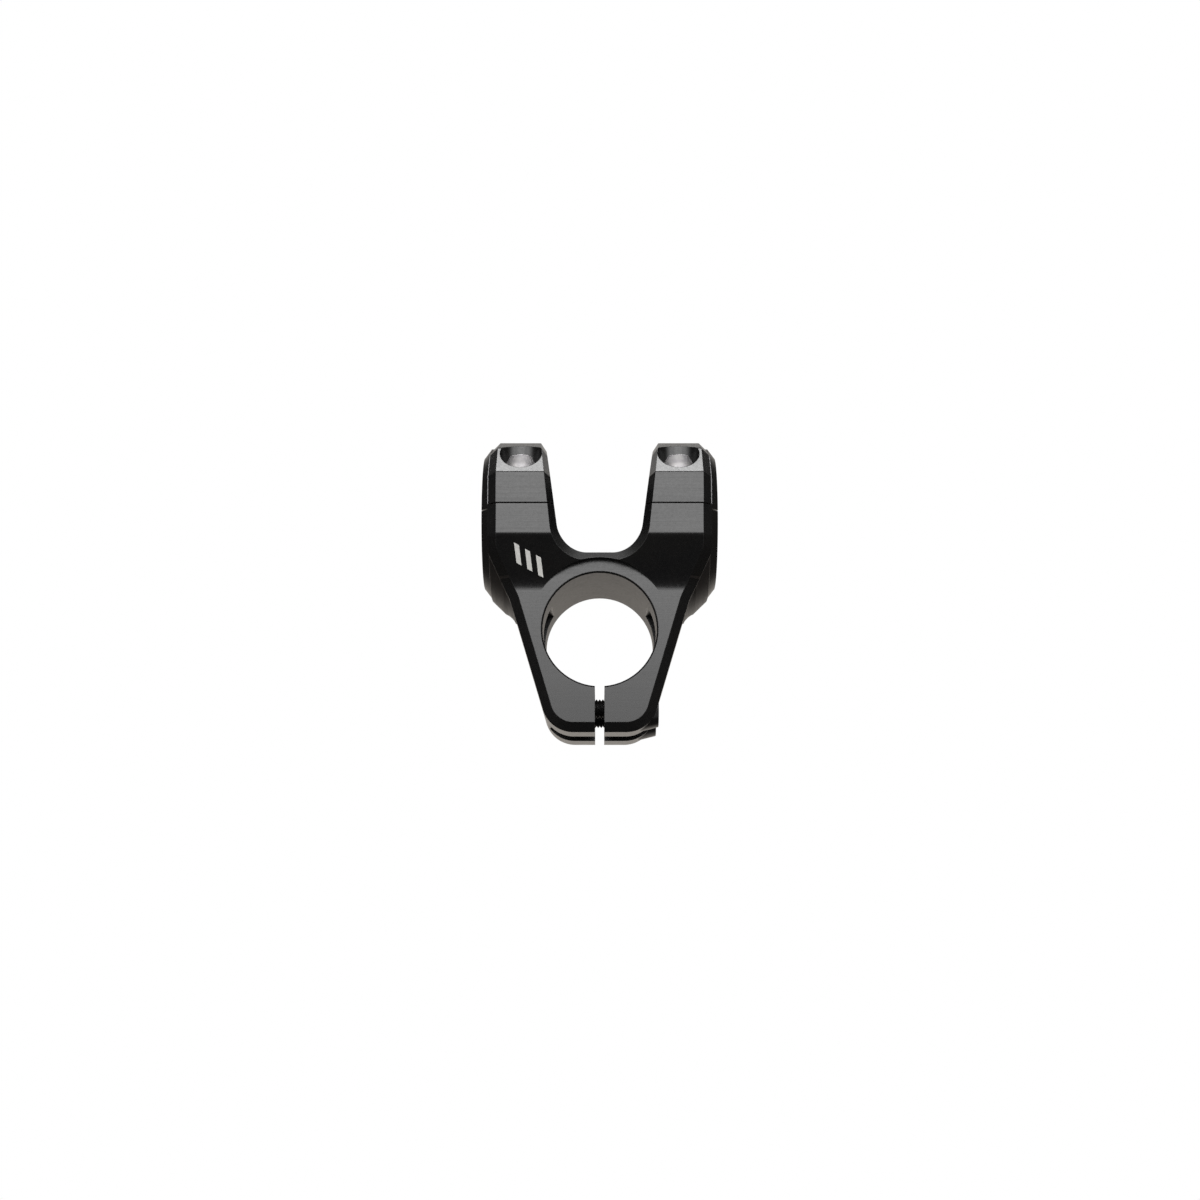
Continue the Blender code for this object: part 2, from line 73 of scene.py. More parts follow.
# the clamp round the steerer
STEERER_BORE_R = 14.3
STEERER_LEAD = 0.4
STACK_HALF = 20.0
EDGE_DROP = 2.25  # height of the outer chamfer
OUTER_CHAMFER = 2.3  # its width
SPOTFACE_R = 17.7
SIDE_AT_AXIS = 20.2
SIDE_TAPER = 0.302
REAR_Y = -25.6
REAR_CORNER_R = 8.0
SLIT_HALF = 1.2
SLIT_FRONT_Y = -8.0
GROOVE_HALF = 6.3
GROOVE_FLOOR_Y = -22.3
RELIEF_INNER_X = 10.0
RELIEF_X = 16.6
RELIEF_FRONT_Y = 7.6
RELIEF_REAR_Y = -4.5
RELIEF_HALF = 8.0
RELIEF_R = 2.0

# the bar clamp and the two arms that carry it
BAR_Y = 30.8
BAR_BORE_R = 15.9
BAR_LEAD = 0.5
CLAMP_OUTER_R = 21.2
FRONT_Y = BAR_Y + CLAMP_OUTER_R
ARM_TOP_Z = 26.8
FLAT_FRONT_Y = 38.7
FLAT_END_R = 0.7
SLOPE_TOP_Y = 22.8
SLOPE_TOP_R = 2.0
SLOPE_FOOT_Y = 11.8
SLOPE_FOOT_R = 7.0
FACET_END_Y = 46.98
FACET_END_Z = 18.04
FACET_END_R = 3.0
FRONT_ARC_Z = 6.95
ARM_OUTER_X = 28.1
ARM_FLARE_Y = 19.3
ARM_FLARE_R = 5.0
FLARE_SLOPE = 0.478
FLARE_START_R = 6.0
ARM_INNER_X = 11.4
ARM_INNER_TAPER = 0.135
INNER_EDGE_X = 13.1
INNER_EDGE_TAPER = 0.108
GAP_END_Y = 19.05
GAP_CORNER_R = 7.6
GAP_CHAMFER = 2.1
PLATE_CHAMFER = 2.2
BLANK_FRONT_Y = BAR_Y + 6.0  # the blanks overlap the split
BLANK_REAR_Y = BAR_Y - 5.0
NOSE_R = 23.7
NOSE_ROOT_R = 26.2
BOSS_BASE_R = 19.6
BOSS_FACE_R = 17.1
BOSS_FACE_X = 30.0
BOSS_SUNK = 1.2
BOSS_LIP = 0.25
SPLIT_HALF = 0.15

# faceplate bolt holes
BOLT_X = 19.95
BOLT_Z = 19.9
POCKET_R = 5.35
POCKET_FLOOR_Y = 38.0
BOLT_HOLE_R = 2.75
BOLT_HOLE_END_Y = 20.3
BOLT_HOLE_LEAD = 0.35
DRILL_TIP = BOLT_HOLE_R * 0.6

# pinch bolt bosses and holes
PINCH_Y = -19.2
PINCH_Z = 12.0
PINCH_BOSS_R = 5.6
PINCH_BOSS_END_R = 4.55
PINCH_BOSS_ROOT_X = 4.0
PINCH_BOSS_X = 14.8
PINCH_POCKET_R = 4.1
PINCH_POCKET_LEAD = 0.15
PINCH_FLOOR_X = 8.4
PINCH_HOLE_END_X = -10.4

# bolts and washers
SHANK_R = 2.42
BOLT_LENGTH = 18.0
THREAD_TOP = -2.4  # from the underside of the head
HEAD_H = 5.0
HEX_AF = 4.0
HEX_R = HEX_AF / math.sqrt(3.0)
PITCH = 0.8
THREAD_DEPTH = 0.40
THREAD_FADE = 0.8  # length over which the thread runs out
TIP_LENGTH = 0.7
TIP_SLOPE = 0.8
TIP_DROP = TIP_LENGTH * TIP_SLOPE
WASHER_BORE_R = 2.7
WASHER_LEAD = 0.16
FACEPLATE_BOLT = dict(axis="Y", rim_h=2.1, tip_r=2.7, head_r=4.15, rounding=0.8)
PINCH_BOLT = dict(axis="X", rim_h=4.5, tip_r=3.4, head_r=3.75, rounding=0.3)

# printed bars on the left arm's slope
PRINT_COUNT = 3
PRINT_START = (-21.3, 20.9)
PRINT_PITCH = (2.7, -1.4)
PRINT_LENGTH = 4.6
PRINT_WIDTH = 1.25
PRINT_LEAN = 0.12
PRINT_CUT = -0.5  # slope of the end cuts
PRINT_TOP = 0.035  # heights above the metal
PRINT_LOW = 0.004

# segments round a turned shape
BIG = 144
STEERER_SEGMENTS = 160
POCKET_SEGMENTS = 88
SMALL = 72
WASHER_SEGMENTS = 64
LEAD_SEGMENTS = 48
BOLT_SEGMENTS = 40
THREAD_ROWS = 10  # per turn of the helix
PRINT_SEGMENTS = 10

BEYOND = 40  # reach of a cutting box past the work


def place(x, y, z):
    """A layout point in the row frame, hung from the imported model's front."""
    return Vector((x * MM, (y - FRONT_Y) * MM + CAD_HIGH.y, z * MM))


def lay_y(y):
    """The layout's y of a row frame y."""
    return (y - CAD_HIGH.y) / MM + FRONT_Y


# ---------------------------------------------------------- mesh operations
def to_object(name, shape):
    bmesh.ops.recalc_face_normals(shape, faces=shape.faces)
    mesh = bpy.data.meshes.new(name)
    shape.to_mesh(mesh)
    shape.free()
    obj = bpy.data.objects.new(name, mesh)
    bpy.context.scene.collection.objects.link(obj)
    return obj


def carve(name, base, steps, solver="MANIFOLD"):
    """One solid from a base shape and (operation, shape) steps."""
    obj = to_object(name, base)
    cutters = []
    for k, (operation, shape) in enumerate(steps):
        tool = to_object(f"{name}_tool_{k}", shape)
        cutters.append(tool)
        mod = obj.modifiers.new(f"step_{k}", "BOOLEAN")
        mod.operation = operation
        mod.solver = solver
        mod.object = tool
    bpy.context.view_layer.update()
    graph = bpy.context.evaluated_depsgraph_get()
    mesh = bpy.data.meshes.new_from_object(obj.evaluated_get(graph))
    obj.modifiers.clear()
    old = obj.data
    obj.data = mesh
    mesh.name = name
    bpy.data.meshes.remove(old)
    for tool in cutters:
        data = tool.data
        bpy.data.objects.remove(tool)
        bpy.data.meshes.remove(data)
    mesh.materials.clear()
    return obj


def tidy(obj):
    """Drops the seams a solid's flat faces don't need."""
    merge = 0.002 * MM
    shape = bmesh.new()
    shape.from_mesh(obj.data)
    bmesh.ops.remove_doubles(shape, verts=shape.verts, dist=merge)
    bmesh.ops.dissolve_degenerate(shape, edges=shape.edges, dist=merge)
    bmesh.ops.dissolve_limit(
        shape,
        angle_limit=math.radians(0.35),
        use_dissolve_boundaries=False,
        verts=shape.verts,
        edges=shape.edges,
    )
    bmesh.ops.recalc_face_normals(shape, faces=shape.faces)
    shape.to_mesh(obj.data)
    shape.free()


def crease_broad_faces(mesh):
    """Lets every broad flat face keep its own normal up to its outline."""
    around = {}
    broad = []
    for poly in mesh.polygons:
        at = [mesh.vertices[v].co for v in poly.vertices]
        longest = max((at[i] - at[i - 1]).length for i in range(len(at)))
        broad.append(
            abs(poly.normal.z) > 0.99999 or poly.area / max(longest, 1e-9) > 1.0 * MM
        )
        for key in poly.edge_keys:
            around.setdefault(key, []).append(poly.index)
    for edge in mesh.edges:
        pair = around.get(edge.key, [])
        if len(pair) == 2 and (broad[pair[0]] or broad[pair[1]]):
            first, second = (mesh.polygons[k].normal for k in pair)
            if first.dot(second) < math.cos(math.radians(0.3)):
                edge.use_edge_sharp = True


def shade(obj, sharp_deg, broad=False):
    """Smooth shading with sharp creases."""
    obj.data.shade_smooth()
    obj.data.set_sharp_from_angle(angle=math.radians(sharp_deg))
    if broad:
        crease_broad_faces(obj.data)
    mod = obj.modifiers.new("normals", "WEIGHTED_NORMAL")
    mod.keep_sharp = True
    mod.weight = 100


# Offset of a point turned about each axis.
TURN = {
    "X": lambda r, along, a: (along, r * math.cos(a), r * math.sin(a)),
    "Y": lambda r, along, a: (r * math.sin(a), along, r * math.cos(a)),
    "Z": lambda r, along, a: (r * math.cos(a), r * math.sin(a), along),
}


def turned_vert(shape, axis, centre, radius, along, angle):
    return shape.verts.new(Vector(TURN[axis](radius, along, angle)) * MM + centre)


def make_ring(shape, axis, centre, radius, along, count, phase=0.0):
    """A ring of vertices, or a single one where it meets the axis."""
    if radius < 1e-9:
        return [turned_vert(shape, axis, centre, 0.0, along, 0.0)]
    return [
        turned_vert(shape, axis, centre, radius, along, 2 * math.pi * (i + phase) / count)
        for i in range(count)
    ]


def join_rings(shape, first, second):
    count = max(len(first), len(second))
    for i in range(count):
        j = (i + 1) % count
        if len(first) == 1:
            shape.faces.new((first[0], second[i], second[j]))
        elif len(second) == 1:
            shape.faces.new((first[i], first[j], second[0]))
        else:
            shape.faces.new((first[i], first[j], second[j], second[i]))


def skin(shape, rings):
    """Walls between neighbouring rings and a cap on each end."""
    for first, second in zip(rings, rings[1:]):
        join_rings(shape, first, second)
    shape.faces.new(rings[0][::-1])
    shape.faces.new(rings[-1])


def lathe(profile, segments, axis, centre, phase=0.0):
    """Turns a profile of (radius, place along the axis) about the axis."""
    shape = bmesh.new()
    rings = [make_ring(shape, axis, centre, r, along, segments, phase) for r, along in profile]
    for first, second in zip(rings, rings[1:]):
        join_rings(shape, first, second)
    bmesh.ops.recalc_face_normals(shape, faces=shape.faces)
    return shape


def box(x0, x1, y0, y1, z0, z1):
    shape = bmesh.new()
    low, high = place(x0, y0, z0), place(x1, y1, z1)
    bmesh.ops.create_cube(shape, size=1.0)
    for v in shape.verts:
        v.co = Vector([low[k] + (v.co[k] + 0.5) * (high[k] - low[k]) for k in range(3)])
    return shape


# ----------------------------------------------------------------- outlines
def fillet(points, radii, step_deg=3.0):
    """Rounds each corner of a closed outline with an arc of its own radius."""
    out = []
    for i, (point, radius) in enumerate(zip(points, radii)):
        if radius <= 0:
            out.append(point)
            continue
        corner = Vector(point)
        back = (Vector(points[i - 1]) - corner).normalized()
        ahead = (Vector(points[(i + 1) % len(points)]) - corner).normalized()
        half = back.angle(ahead) / 2.0
        reach = radius / math.tan(half)
        centre = corner + (back + ahead).normalized() * (radius / math.sin(half))
        a = corner + back * reach - centre
        b = corner + ahead * reach - centre
        start = math.atan2(a.y, a.x)
        sweep = math.atan2(a.x * b.y - a.y * b.x, a.dot(b))
        steps = max(2, round(abs(math.degrees(sweep)) / step_deg))
        for k in range(steps + 1):
            angle = start + sweep * k / steps
            out.append(
                (centre.x + radius * math.cos(angle), centre.y + radius * math.sin(angle))
            )
    return out


def inset(outline, widths):
    """Moves each point of an anticlockwise outline inward by its width."""
    count = len(outline)
    out = []
    for i in range(count):
        before, point, after = (Vector(outline[(i + k) % count]) for k in (-1, 0, 1))
        arriving, leaving = (point - before).normalized(), (after - point).normalized()
        normal_in = Vector((-arriving.y, arriving.x))
        normal_out = Vector((-leaving.y, leaving.x))
        mitre = (normal_in + normal_out) / (1.0 + normal_in.dot(normal_out))
        moved = point + mitre * widths[i]
        out.append((moved.x, moved.y))
    return out


def rounded(profile, radius, steps=4):
    """Rounds an open profile's inner corners with short curves."""
    out = [profile[0]]
    for before, point, after in zip(profile, profile[1:], profile[2:]):
        corner = Vector(point)
        back, ahead = Vector(before) - corner, Vector(after) - corner
        reach = min(radius, back.length * 0.45, ahead.length * 0.45)
        back.normalize()
        ahead.normalize()
        if reach < 1e-4 or abs(back.dot(ahead)) > 0.999:
            out.append(point)
            continue
        start, end = corner + back * reach, corner + ahead * reach
        for k in range(steps + 1):
            t = k / steps
            on_curve = start * (1 - t) ** 2 + corner * 2 * t * (1 - t) + end * t**2
            out.append((on_curve.x, on_curve.y))
    out.append(profile[-1])
    return out


def inner_x(y):
    """Inner side of an arm, at the foot of the chamfer on a plate's profile."""
    return ARM_INNER_X + ARM_INNER_TAPER * (y - BAR_Y)


def inner_edge_x(y):
    """Outer side of that chamfer, on the arm's full height."""
    return INNER_EDGE_X + INNER_EDGE_TAPER * (y - BAR_Y)


def body_outline():
    """The body from above, and the chamfer's width at each point."""
    # where the clamp's tapered side meets the arm's flare
    flare_y = (ARM_OUTER_X - FLARE_SLOPE * ARM_FLARE_Y - SIDE_AT_AXIS) / (
        SIDE_TAPER - FLARE_SLOPE
    )
    # x, y, corner radius
    right = [
        (SIDE_AT_AXIS + SIDE_TAPER * REAR_Y, REAR_Y, REAR_CORNER_R),
        (SIDE_AT_AXIS + SIDE_TAPER * flare_y, flare_y, FLARE_START_R),
        (ARM_OUTER_X, ARM_FLARE_Y, ARM_FLARE_R),
        (ARM_OUTER_X, BLANK_FRONT_Y, 0.0),
        (inner_x(BLANK_FRONT_Y), BLANK_FRONT_Y, 0.0),
        (inner_x(GAP_END_Y), GAP_END_Y, GAP_CORNER_R),
    ]
    left = [(-x, y, radius) for x, y, radius in right[::-1]]
    corners = [(0.0, REAR_Y, 0.0)] + right + [(0.0, GAP_END_Y, 0.0)] + left
    outline = fillet([corner[:2] for corner in corners], [corner[2] for corner in corners])

    # the gap's chamfer blends into the arms' through the corner
    start = GAP_END_Y + GAP_CORNER_R * 0.85
    widths = []
    for x, y in outline:
        if abs(x) > inner_x(y) + 1.0 or y < GAP_END_Y - 1.0:
            widths.append(OUTER_CHAMFER)
            continue
        straight = (inner_edge_x(y) - inner_x(y)) * 0.99
        blend = min(max((start - y) / (GAP_CORNER_R * 0.5), 0.0), 1.0)
        widths.append(straight + (GAP_CHAMFER - straight) * blend)
    return outline, widths


def slope_points():
    """(y, rise above the steerer clamp's top) up the slope to the arms."""
    rise = ARM_TOP_Z - STACK_HALF
    angle = math.atan2(rise, SLOPE_TOP_Y - SLOPE_FOOT_Y)
    points = []
    # y, height, radius (negative bends down), first and last angle, steps
    for y, base, radius, first, last, steps in (
        (SLOPE_FOOT_Y, 0.0, SLOPE_FOOT_R, 0.0, angle, 12),
        (SLOPE_TOP_Y, rise, -SLOPE_TOP_R, angle, 0.0, 8),
    ):
        reach = radius * math.tan(angle / 2)
        for k in range(steps + 1):
            a = first + (last - first) * k / steps
            points.append(
                (y - reach + radius * math.sin(a), base + radius * (1 - math.cos(a)))
            )
    return points


SLOPE = slope_points()


def rise_at(y):
    if y <= SLOPE[0][0]:
        return SLOPE[0][1]
    for (y0, h0), (y1, h1) in zip(SLOPE, SLOPE[1:]):
        if y <= y1:
            return h0 + (h1 - h0) * (y - y0) / max(y1 - y0, 1e-9)
    return SLOPE[-1][1]


# ------------------------------------------------------------------- blanks
def body_blank():
    """The chamfered outline, folded up and down along the slopes."""
    outline, widths = body_outline()
    narrow = inset(outline, widths)
    shape = bmesh.new()
    levels = [
        (narrow, -STACK_HALF),
        (outline, -STACK_HALF + EDGE_DROP),
        (outline, STACK_HALF - EDGE_DROP),
        (narrow, STACK_HALF),
    ]
    skin(shape, [[shape.verts.new((x, y, z)) for x, y in points] for points, z in levels])
    for y, _ in SLOPE:
        bmesh.ops.bisect_plane(
            shape,
            geom=shape.verts[:] + shape.edges[:] + shape.faces[:],
            dist=1e-5,
            plane_co=(0, y, 0),
            plane_no=(0, 1, 0),
        )
    for v in shape.verts:
        lift = rise_at(v.co.y)
        v.co.z += lift if v.co.z > 0 else -lift
    bmesh.ops.triangulate(
        shape, faces=[f for f in shape.faces if len(f.verts) > 4], ngon_method="EAR_CLIP"
    )
    for v in shape.verts:
        v.co = place(*v.co)
    return shape


def plate_ring(depth):
    """Side profile (y, z) of a faceplate, drawn in by depth."""
    start = math.asin(FRONT_ARC_Z / CLAMP_OUTER_R)
    steps = 16
    arc = []
    for k in range(steps + 1):
        a = -start + 2 * start * k / steps
        arc.append((BAR_Y + CLAMP_OUTER_R * math.cos(a), CLAMP_OUTER_R * math.sin(a)))
    lower = [
        (BLANK_REAR_Y, -ARM_TOP_Z),
        (FLAT_FRONT_Y, -ARM_TOP_Z),
        (FACET_END_Y, -FACET_END_Z),
    ]
    upper = [(y, -z) for y, z in lower[::-1]]
    sharp = lower + arc + upper
    radii = [0.0, max(FLAT_END_R - depth, 0.06), max(FACET_END_R - depth, 0.1)]
    radii = radii + [0.0] * len(arc) + radii[::-1]
    return fillet(inset(sharp, [depth] * len(sharp)), radii)


def plate_blank(side):
    """A faceplate before drilling, chamfered inside and out."""
    # small easings at the top and foot of the outer chamfer
    top = 0.12
    low = 0.28
    diagonal = low * math.sqrt(0.5)
    # depth drawn in, x
    outer = [
        (0.0, ARM_OUTER_X - PLATE_CHAMFER),
        (top, ARM_OUTER_X - PLATE_CHAMFER + top),
        (PLATE_CHAMFER - diagonal, ARM_OUTER_X - diagonal),
        (PLATE_CHAMFER - diagonal * 0.36, ARM_OUTER_X - diagonal * 0.44),
        (PLATE_CHAMFER + low * 0.2, ARM_OUTER_X - diagonal * 0.12),
        (PLATE_CHAMFER + low, ARM_OUTER_X),
    ]
    layers = [(PLATE_CHAMFER, inner_x), (0.0, inner_edge_x)]
    layers += [(depth, lambda y, x=x: x) for depth, x in outer]
    shape = bmesh.new()
    skin(
        shape,
        [
            [shape.verts.new(place(side * x_at(y), y, z)) for y, z in plate_ring(depth)]
            for depth, x_at in layers
        ],
    )
    bmesh.ops.recalc_face_normals(shape, faces=shape.faces)
    return shape


# -------------------------------------------------------- parts and cutters
def bar_boss(side):
    """The raised ring round the bar on an outer side."""
    profile = [
        (0.0, ARM_OUTER_X - BOSS_SUNK),
        (BOSS_BASE_R, ARM_OUTER_X - BOSS_SUNK),
        (BOSS_BASE_R, ARM_OUTER_X + 0.01),
        (BOSS_FACE_R + BOSS_LIP, BOSS_FACE_X - BOSS_LIP * 0.75),
        (BOSS_FACE_R + BOSS_LIP * 0.45, BOSS_FACE_X - BOSS_LIP * 0.18),
        (BOSS_FACE_R - BOSS_LIP * 0.3, BOSS_FACE_X),
        (0.0, BOSS_FACE_X),
    ]
    return lathe([(r, side * x) for r, x in profile], BIG, "X", place(0, BAR_Y, 0), 0.5)


def arm_nose(side):
    """The turned shoulder of an arm, round the bar's axis."""
    # radius, x
    profile = [
        (0.0, 17.5),
        (NOSE_ROOT_R, 17.5),
        (NOSE_ROOT_R, 21.9),
        (25.65, 22.15),
        (25.2, 22.5),
        (24.8, 22.85),
        (24.4, 23.3),
        (24.0, 23.85),
        (NOSE_R, 24.5),
        (20.4, ARM_OUTER_X - 0.2),
        (19.9, ARM_OUTER_X - 0.02),
        (0.0, ARM_OUTER_X - 0.02),
    ]
    return lathe([(r, side * x) for r, x in profile], BIG, "X", place(0, BAR_Y, 0))


def pinch_boss(level):
    root, end = PINCH_BOSS_ROOT_X, PINCH_BOSS_X
    profile = [
        (0.0, root),
        (PINCH_BOSS_R, root),
        (PINCH_BOSS_R, end - 4.4),
        (PINCH_BOSS_R - 0.05, end - 4.0),
        (PINCH_BOSS_END_R + 0.05, end - 0.2),
        (PINCH_BOSS_END_R, end - 0.1),
        (PINCH_BOSS_END_R - 0.1, end),
        (0.0, end),
    ]
    return lathe(profile, SMALL, "X", place(0, PINCH_Y, level * PINCH_Z))


def bar_bore():
    end, past = BOSS_FACE_X, 3
    profile = [
        (0.0, -end - past),
        (BAR_BORE_R + BAR_LEAD + past, -end - past),
        (BAR_BORE_R, -end + BAR_LEAD),
        (BAR_BORE_R, end - BAR_LEAD),
        (BAR_BORE_R + BAR_LEAD + past, end + past),
        (0.0, end + past),
    ]
    return lathe(profile, BIG, "X", place(0, BAR_Y, 0))


def steerer_bore():
    """The bore, its leads and the spotfaces cut into the slopes."""
    end, past = STACK_HALF, 12
    profile = [
        (0.0, -end - past),
        (SPOTFACE_R, -end - past),
        (SPOTFACE_R, -end),
        (STEERER_BORE_R + STEERER_LEAD, -end),
        (STEERER_BORE_R, -end + STEERER_LEAD),
        (STEERER_BORE_R, end - STEERER_LEAD),
        (STEERER_BORE_R + STEERER_LEAD, end),
        (SPOTFACE_R, end),
        (SPOTFACE_R, end + past),
        (0.0, end + past),
    ]
    return lathe(profile, STEERER_SEGMENTS, "Z", place(0, 0, 0))


def relief(side):
    """A milled pocket in the steerer bore's side wall."""
    corners = [
        (RELIEF_INNER_X, RELIEF_REAR_Y),
        (RELIEF_X, RELIEF_REAR_Y),
        (RELIEF_X, RELIEF_FRONT_Y),
        (RELIEF_INNER_X, RELIEF_FRONT_Y),
    ]
    outline = fillet(corners, [0.0, RELIEF_R, RELIEF_R, 0.0], step_deg=5.0)
    shape = bmesh.new()
    rings = [
        [shape.verts.new(place(side * x, y, z)) for x, y in outline]
        for z in (-RELIEF_HALF, RELIEF_HALF)
    ]
    skin(shape, rings)
    bmesh.ops.recalc_face_normals(shape, faces=shape.faces)
    return shape


def arm_bolt_hole(side, level):
    """A blind hole for a faceplate bolt, measured from the split."""
    end = BOLT_HOLE_END_Y - BAR_Y
    profile = [
        (0.0, end - DRILL_TIP),
        (BOLT_HOLE_R, end),
        (BOLT_HOLE_R, -SPLIT_HALF - BOLT_HOLE_LEAD),
        (BOLT_HOLE_R + BOLT_HOLE_LEAD, -SPLIT_HALF),
        (BOLT_HOLE_R + BOLT_HOLE_LEAD, 3.0),
        (0.0, 3.0),
    ]
    return lathe(profile, SMALL, "Y", place(side * BOLT_X, BAR_Y, level * BOLT_Z))


def plate_bolt_hole(side, level):
    """A through hole and head pocket, measured from the pocket's floor."""
    rear, front = BAR_Y - 3 - POCKET_FLOOR_Y, 25.0
    profile = [
        (0.0, rear),
        (BOLT_HOLE_R, rear),
        (BOLT_HOLE_R, 0.0),
        (POCKET_R, 0.0),
        (POCKET_R, front),
        (0.0, front),
    ]
    centre = place(side * BOLT_X, POCKET_FLOOR_Y, level * BOLT_Z)
    return lathe(profile, POCKET_SEGMENTS, "Y", centre)


def pinch_hole(level):
    """A blind hole across the slit, with a head pocket on the right."""
    past = 6
    profile = [
        (0.0, PINCH_HOLE_END_X - DRILL_TIP),
        (BOLT_HOLE_R, PINCH_HOLE_END_X),
        (BOLT_HOLE_R, PINCH_FLOOR_X),
        (PINCH_POCKET_R, PINCH_FLOOR_X),
        (PINCH_POCKET_R, PINCH_BOSS_X - PINCH_POCKET_LEAD),
        (PINCH_POCKET_R + PINCH_POCKET_LEAD, PINCH_BOSS_X),
        (PINCH_POCKET_R + PINCH_POCKET_LEAD, PINCH_BOSS_X + past),
        (0.0, PINCH_BOSS_X + past),
    ]
    return lathe(profile, SMALL, "X", place(0, PINCH_Y, level * PINCH_Z))


# ------------------------------------------------------------------- pieces
SIDES = (-1, 1)  # left, right
LEVELS = (1, -1)  # upper, lower


def make_body():
    far = BEYOND
    behind = REAR_Y - 5
    slit = box(-SLIT_HALF, SLIT_HALF, behind, SLIT_FRONT_Y, -30, 30)
    groove = box(-25, 25, behind, GROOVE_FLOOR_Y, -GROOVE_HALF, GROOVE_HALF)
    added = [part(side) for side in SIDES for part in (arm_nose, bar_boss)]
    added += [pinch_boss(level) for level in LEVELS]
    cut = [box(-far, far, BAR_Y - SPLIT_HALF, BAR_Y + far, -far, far)]
    cut += [bar_bore(), steerer_bore()]
    cut += [relief(side) for side in SIDES]
    cut += [slit, groove]
    cut += [arm_bolt_hole(side, level) for side in SIDES for level in LEVELS]
    cut += [pinch_hole(level) for level in LEVELS]
    steps = [("UNION", shape) for shape in added]
    steps += [("DIFFERENCE", shape) for shape in cut]
    return carve("stem_body_finished", body_blank(), steps)


def make_plate(side, word):
    far = BEYOND
    steps = [
        ("UNION", bar_boss(side)),
        ("DIFFERENCE", box(-far, far, BAR_Y - far, BAR_Y + SPLIT_HALF, -far, far)),
        ("DIFFERENCE", bar_bore()),
    ]
    steps += [("DIFFERENCE", plate_bolt_hole(side, level)) for level in LEVELS]
    return carve(f"faceplate_{word}_finished", plate_blank(side), steps)


def threaded_bolt(head, low, high, axis, centre):
    """A threaded bolt as one closed shape. head is the half section from the
    shank's end out to the axis; the helix runs from low to high."""
    count = BOLT_SEGMENTS
    shape = bmesh.new()
    start = low - PITCH
    row_step = PITCH / THREAD_ROWS
    rows = int(math.ceil((high - low + 2 * PITCH) / row_step)) + 1

    def thread_radius(along, turns):
        wave = abs(2 * (turns - math.floor(turns)) - 1)
        # the wave's ends are cut off to leave flat crests and roots
        groove = min(max((wave - 0.12) / 0.74, 0.0), 1.0)
        fade = min(max((high - along) / THREAD_FADE, 0.0), 1.0)
        tip = max(0.0, TIP_LENGTH - (along - low))
        return min(SHANK_R - THREAD_DEPTH * groove * fade, SHANK_R - tip * TIP_SLOPE)

    grid = []
    for i in range(count):
        column = []
        for k in range(rows):
            along = start + k * row_step + PITCH * i / count
            along = min(max(along, low), high)
            radius = thread_radius(along, k / THREAD_ROWS)
            vert = turned_vert(shape, axis, centre, radius, along, 2 * math.pi * i / count)
            column.append((vert, along))
        grid.append(column)
    for i in range(count):
        j = (i + 1) % count
        # the last column joins the first one turn on
        shift = THREAD_ROWS if j == 0 else 0
        for k in range(rows - 1 - shift):
            quad = [
                grid[i][k],
                grid[j][k + shift],
                grid[j][k + shift + 1],
                grid[i][k + 1],
            ]
            places = [along for _, along in quad]
            if max(places) - min(places) >= 1e-6:
                shape.faces.new([vert for vert, _ in quad])

    # the two plain ends are made round, so they merge with the rings below
    k = "XYZ".index(axis)
    for v in shape.verts:
        local = (v.co - centre) / MM
        along = local[k]
        if abs(along - low) < 1e-4 or abs(along - high) < 1e-4:
            radius = SHANK_R - (TIP_DROP if abs(along - low) < 1e-4 else 0.0)
            local[k] = 0
            local = local.normalized() * radius
            local[k] = along
            v.co = local * MM + centre
    loose = [v for v in shape.verts if not v.link_faces]
    bmesh.ops.delete(shape, geom=loose, context="VERTS")

    last = make_ring(shape, axis, centre, SHANK_R, high, count)
    tip = make_ring(shape, axis, centre, SHANK_R - TIP_DROP, low, count)
    shape.faces.new(tip[::-1])
    for radius, along in head:
        ring = make_ring(shape, axis, centre, radius, along, count)
        join_rings(shape, last, ring)
        last = ring
    bmesh.ops.remove_doubles(shape, verts=shape.verts, dist=2e-7)
    bmesh.ops.recalc_face_normals(shape, faces=shape.faces)
    return shape


def make_bolt(node, axis, rim_h, tip_r, head_r, rounding):
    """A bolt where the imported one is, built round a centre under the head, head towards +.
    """
    low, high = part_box(node)
    centre = (low + high) / 2
    k = "XYZ".index(axis)
    centre[k] = high[k] - HEAD_H * MM
    corners = [
        (SHANK_R, 0.0),
        (head_r, 0.0),
        (head_r, rim_h),
        (tip_r + 0.2, HEAD_H - 0.35),
        (tip_r - 0.1, HEAD_H),
        (0.6, HEAD_H),
    ]
    head = rounded(corners, rounding)[1:] + [(0.0, HEAD_H)]
    socket = [
        (0.0, HEAD_H - 3.4),
        (HEX_R, HEAD_H - 2.6),
        (HEX_R, HEAD_H + 2),
        (0.0, HEAD_H + 2),
    ]
    lead = [
        (0.0, HEAD_H - 0.45),
        (HEX_AF / 2 - 0.02, HEAD_H - 0.28),
        (HEX_R - 0.02, HEAD_H + 0.02),
        (HEX_R - 0.02, HEAD_H + 1),
        (0.0, HEAD_H + 1),
    ]
    blank = threaded_bolt(head, -BOLT_LENGTH, THREAD_TOP, axis, centre)
    steps = [
        ("DIFFERENCE", lathe(socket, 6, axis, centre)),
        ("DIFFERENCE", lathe(lead, LEAD_SEGMENTS, axis, centre)),
    ]
    return carve(node + "_finished", blank, steps, "EXACT")


